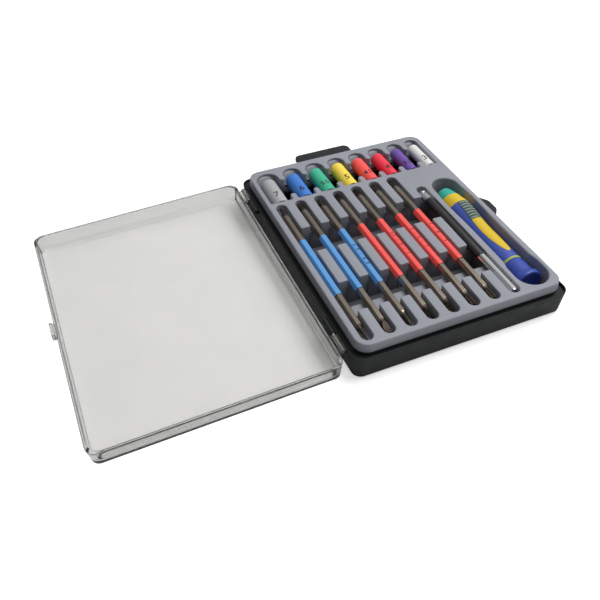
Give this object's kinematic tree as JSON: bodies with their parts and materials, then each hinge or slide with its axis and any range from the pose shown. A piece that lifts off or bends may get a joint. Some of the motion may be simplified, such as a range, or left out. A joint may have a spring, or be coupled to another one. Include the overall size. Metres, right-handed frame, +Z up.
{
  "type": "precision screwdriver set",
  "caption": "Flat hinged case with a clear lid and a moulded tray holding colour-coded nut sockets, double-ended hex blades, an extension bar and a swivel-cap handle.",
  "frame": {"origin": "centre of the flat underside of the case", "axes": "+X from the lid's side to the latch side, +Y towards the hang tab, +Z up; the lid is stored open, lying on the table"},
  "size_m": [0.263, 0.177, 0.0209],
  "materials": {
    "case_black": "fine texture",
    "tray_grey": "fine matt texture",
    "lid_clear": "clear polished plastic",
    "pin_steel": "drawn wire",
    "socket_steel": "turned",
    "blade_steel": "dark bronze-tinted hardened steel",
    "bar_chrome": "plated",
    "magnet_steel": "plated",
    "sleeve_blue": "satin",
    "sleeve_red": "satin",
    "sleeve_black": "satin",
    "handle_blue": "polished",
    "handle_yellow": "satin",
    "handle_teal": "soft touch",
    "pad_grey_green": "ribbed soft grip",
    "ring_green": "satin",
    "cap_blue": "polished",
    "socket_grey": "satin",
    "socket_blue": "satin",
    "socket_green": "satin",
    "socket_yellow": "satin",
    "socket_orange_red": "satin",
    "socket_crimson": "satin",
    "socket_purple": "satin",
    "socket_white": "satin"
  },
  "bodies": {
    "case": {"base_case": "case_black", "tool_tray": "tray_grey", "hinge_pins": "pin_steel"},
    "lid": {"lid": "lid_clear"},
    "socket_1": {"socket_sleeve_1": "socket_grey", "socket_core_1": "socket_steel"},
    "socket_2": {"socket_sleeve_2": "socket_blue", "socket_core_2": "socket_steel"},
    "socket_3": {"socket_sleeve_3": "socket_green", "socket_core_3": "socket_steel"},
    "socket_4": {"socket_sleeve_4": "socket_yellow", "socket_core_4": "socket_steel"},
    "socket_5": {"socket_sleeve_5": "socket_orange_red", "socket_core_5": "socket_steel"},
    "socket_6": {"socket_sleeve_6": "socket_crimson", "socket_core_6": "socket_steel"},
    "socket_7": {"socket_sleeve_7": "socket_purple", "socket_core_7": "socket_steel"},
    "socket_8": {"socket_sleeve_8": "socket_white", "socket_core_8": "socket_steel"},
    "blade_1": {"blade_1": "blade_steel", "blade_sleeve_1": "sleeve_blue"},
    "blade_2": {"blade_2": "blade_steel", "blade_sleeve_2": "sleeve_blue"},
    "blade_3": {"blade_3": "blade_steel", "blade_sleeve_3": "sleeve_blue"},
    "blade_4": {"blade_4": "blade_steel", "blade_sleeve_4": "sleeve_red"},
    "blade_5": {"blade_5": "blade_steel", "blade_sleeve_5": "sleeve_red"},
    "blade_6": {"blade_6": "blade_steel", "blade_sleeve_6": "sleeve_red"},
    "blade_7": {"blade_7": "blade_steel", "blade_sleeve_7": "sleeve_red"},
    "extension": {"extension_bar": "bar_chrome", "extension_sleeve": "sleeve_black"},
    "handle": {"handle_body": "handle_blue", "handle_collar": "handle_yellow", "handle_nose": "handle_teal", "bit_socket": "socket_steel", "bit_magnet": "magnet_steel", "grip_pads": "pad_grey_green", "grip_inlays": "handle_yellow", "handle_ring": "ring_green", "cap_pin": "pin_steel"},
    "cap": {"handle_cap": "cap_blue"}
  },
  "joints": [
    {"name": "lid_hinge", "type": "hinge", "parent": "case", "child": "lid", "pos_m": [-0.0644, 0, 0.0134], "axis": [0, -1, 0], "range_deg": [-181.97, 0]},
    {"name": "socket_1_lift", "type": "slide", "parent": "case", "child": "socket_1", "axis": [0, 0, 1], "range_m": [0, 0.035]},
    {"name": "socket_2_lift", "type": "slide", "parent": "case", "child": "socket_2", "axis": [0, 0, 1], "range_m": [0, 0.035]},
    {"name": "socket_3_lift", "type": "slide", "parent": "case", "child": "socket_3", "axis": [0, 0, 1], "range_m": [0, 0.035]},
    {"name": "socket_4_lift", "type": "slide", "parent": "case", "child": "socket_4", "axis": [0, 0, 1], "range_m": [0, 0.035]},
    {"name": "socket_5_lift", "type": "slide", "parent": "case", "child": "socket_5", "axis": [0, 0, 1], "range_m": [0, 0.035]},
    {"name": "socket_6_lift", "type": "slide", "parent": "case", "child": "socket_6", "axis": [0, 0, 1], "range_m": [0, 0.035]},
    {"name": "socket_7_lift", "type": "slide", "parent": "case", "child": "socket_7", "axis": [0, 0, 1], "range_m": [0, 0.035]},
    {"name": "socket_8_lift", "type": "slide", "parent": "case", "child": "socket_8", "axis": [0, 0, 1], "range_m": [0, 0.035]},
    {"name": "blade_1_lift", "type": "slide", "parent": "case", "child": "blade_1", "axis": [0, 0, 1], "range_m": [0, 0.03]},
    {"name": "blade_2_lift", "type": "slide", "parent": "case", "child": "blade_2", "axis": [0, 0, 1], "range_m": [0, 0.03]},
    {"name": "blade_3_lift", "type": "slide", "parent": "case", "child": "blade_3", "axis": [0, 0, 1], "range_m": [0, 0.03]},
    {"name": "blade_4_lift", "type": "slide", "parent": "case", "child": "blade_4", "axis": [0, 0, 1], "range_m": [0, 0.03]},
    {"name": "blade_5_lift", "type": "slide", "parent": "case", "child": "blade_5", "axis": [0, 0, 1], "range_m": [0, 0.03]},
    {"name": "blade_6_lift", "type": "slide", "parent": "case", "child": "blade_6", "axis": [0, 0, 1], "range_m": [0, 0.03]},
    {"name": "blade_7_lift", "type": "slide", "parent": "case", "child": "blade_7", "axis": [0, 0, 1], "range_m": [0, 0.03]},
    {"name": "extension_lift", "type": "slide", "parent": "case", "child": "extension", "axis": [0, 0, 1], "range_m": [0, 0.03]},
    {"name": "handle_lift", "type": "slide", "parent": "case", "child": "handle", "axis": [0, 0, 1], "range_m": [0, 0.04]},
    {"name": "cap_spin", "type": "hinge", "parent": "handle", "child": "cap", "pos_m": [0.0474, -0.058, 0.0126], "axis": [0, 1, 0], "continuous": true}
  ]
}
